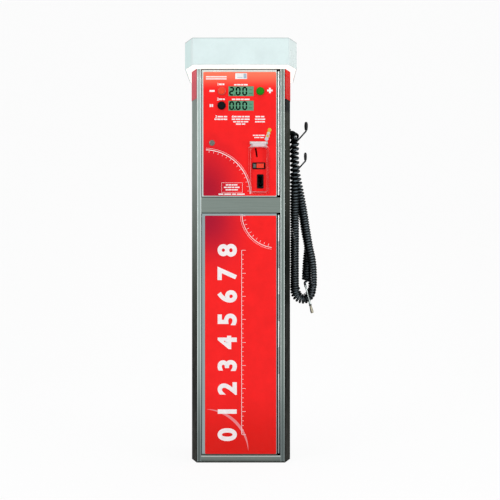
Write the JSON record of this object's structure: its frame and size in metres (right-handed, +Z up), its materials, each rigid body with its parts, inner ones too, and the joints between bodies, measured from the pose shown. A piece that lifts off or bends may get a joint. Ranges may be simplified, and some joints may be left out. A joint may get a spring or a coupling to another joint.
{
  "type": "tyre inflator pillar",
  "caption": "Free-standing coin-operated tyre inflator pillar with digital pressure read-outs, push-buttons, a lit canopy, two hinged doors and a curly air hose on wall hooks.",
  "frame": {"origin": "on the floor, at the centre of the cabinet's footprint, on the underside of the base plate", "axes": "+Z up, the front with its doors faces -Y, +X to the right as seen from the front"},
  "size_m": [0.4942, 0.428, 1.5422],
  "materials": {
    "dark_paint": "satin powder coat",
    "red_paint": "gloss",
    "brushed_steel": "vertical brushed",
    "grey_sheet": "satin",
    "opal_white": "opal",
    "lit_white": "opal, lit",
    "aluminium": "satin",
    "red_print": "printed, glossy",
    "chrome": "polished",
    "display": "glossy",
    "button_red": "glossy",
    "button_black": "glossy",
    "button_green": "glossy",
    "black_plastic": "moulded",
    "clear_plastic": "clear",
    "grey_plastic": "moulded",
    "tank_paint": "gloss",
    "cast_grey": "painted",
    "brass": "satin",
    "black_rubber": "satin"
  },
  "bodies": {
    "root": {"base_plate": "dark_paint", "cabinet_shell": "dark_paint", "vent_grille": "dark_paint", "shoulder_band": "red_paint", "left_stile": "brushed_steel", "right_stile": "brushed_steel", "bottom_rail": "brushed_steel", "cross_rail": "brushed_steel", "roof_plate": "grey_sheet", "canopy_wall": "opal_white", "canopy_lid": "aluminium", "canopy_diffuser": "lit_white", "canopy_frame": "grey_sheet", "led_bar": "lit_white", "mid_shelf": "grey_sheet", "equipment_plate": "grey_sheet", "control_box": "grey_plastic", "power_supply": "aluminium", "valve_block": "aluminium", "inflate_valve": "black_plastic", "deflate_valve": "black_plastic", "pressure_sensor": "chrome", "cash_box": "grey_sheet", "air_tank": "tank_paint", "compressor": "cast_grey", "supply_pipe": "brass", "hose_outlet": "black_plastic", "outlet_pipe": "black_rubber", "upper_hook": "chrome", "upper_hook_cap": "black_rubber", "lower_hook": "chrome", "lower_hook_cap": "black_rubber", "hose_coil": "black_rubber", "chuck_stem": "chrome", "chuck_ring": "black_rubber", "chuck_head": "brass"},
    "control_door": {"control_door_panel": "brushed_steel", "control_door_fascia": "red_print", "control_door_leaf": "brushed_steel", "target_readout": "display", "reading_readout": "display", "minus_button_body": "button_red", "start_button_body": "button_black", "plus_button_body": "button_green", "lock_housing": "chrome", "coin_acceptor": "black_plastic", "reject_bezel": "black_plastic", "coin_return_cup": "black_plastic", "flap_pin": "chrome"},
    "minus_button": {"minus_button": "button_red"},
    "start_button": {"start_button": "button_black"},
    "plus_button": {"plus_button": "button_green"},
    "reject_button": {"reject_button": "button_red"},
    "coin_flap": {"coin_flap": "clear_plastic"},
    "lock": {"lock_plug": "chrome", "lock_cam": "chrome"},
    "service_door": {"service_door_panel": "brushed_steel", "service_door_fascia": "red_print", "service_door_leaf": "brushed_steel"},
    "door_bolt": {"door_bolt": "chrome"}
  },
  "joints": [
    {"name": "control_door_hinge", "type": "hinge", "parent": "root", "child": "control_door", "pos_m": [0.1386, -0.163, 1.2085], "axis": [0, 0, 1], "range_deg": [0, 110]},
    {"name": "service_door_hinge", "type": "hinge", "parent": "root", "child": "service_door", "pos_m": [0.1386, -0.163, 0.4713], "axis": [0, 0, 1], "range_deg": [0, 110]},
    {"name": "minus_button_press", "type": "slide", "parent": "control_door", "child": "minus_button", "axis": [0, 1, 0], "range_m": [0, 0.003], "stiffness_N_per_m": 300, "springref_m": -0.004},
    {"name": "start_button_press", "type": "slide", "parent": "control_door", "child": "start_button", "axis": [0, 1, 0], "range_m": [0, 0.003], "stiffness_N_per_m": 300, "springref_m": -0.004},
    {"name": "plus_button_press", "type": "slide", "parent": "control_door", "child": "plus_button", "axis": [0, 1, 0], "range_m": [0, 0.003], "stiffness_N_per_m": 300, "springref_m": -0.004},
    {"name": "reject_button_press", "type": "slide", "parent": "control_door", "child": "reject_button", "axis": [0, 1, 0], "range_m": [0, 0.003], "stiffness_N_per_m": 300, "springref_m": -0.004},
    {"name": "coin_flap_hinge", "type": "hinge", "parent": "control_door", "child": "coin_flap", "pos_m": [0.0656, -0.1733, 1.1709], "axis": [-1, 0, 0], "range_deg": [0, 100]},
    {"name": "lock_turn", "type": "hinge", "parent": "control_door", "child": "lock", "pos_m": [-0.106, -0.15, 1.1727], "axis": [0, 1, 0], "range_deg": [0, 90]},
    {"name": "door_bolt_slide", "type": "slide", "parent": "service_door", "child": "door_bolt", "axis": [0, 0, 1], "range_m": [0, 0.012]}
  ]
}
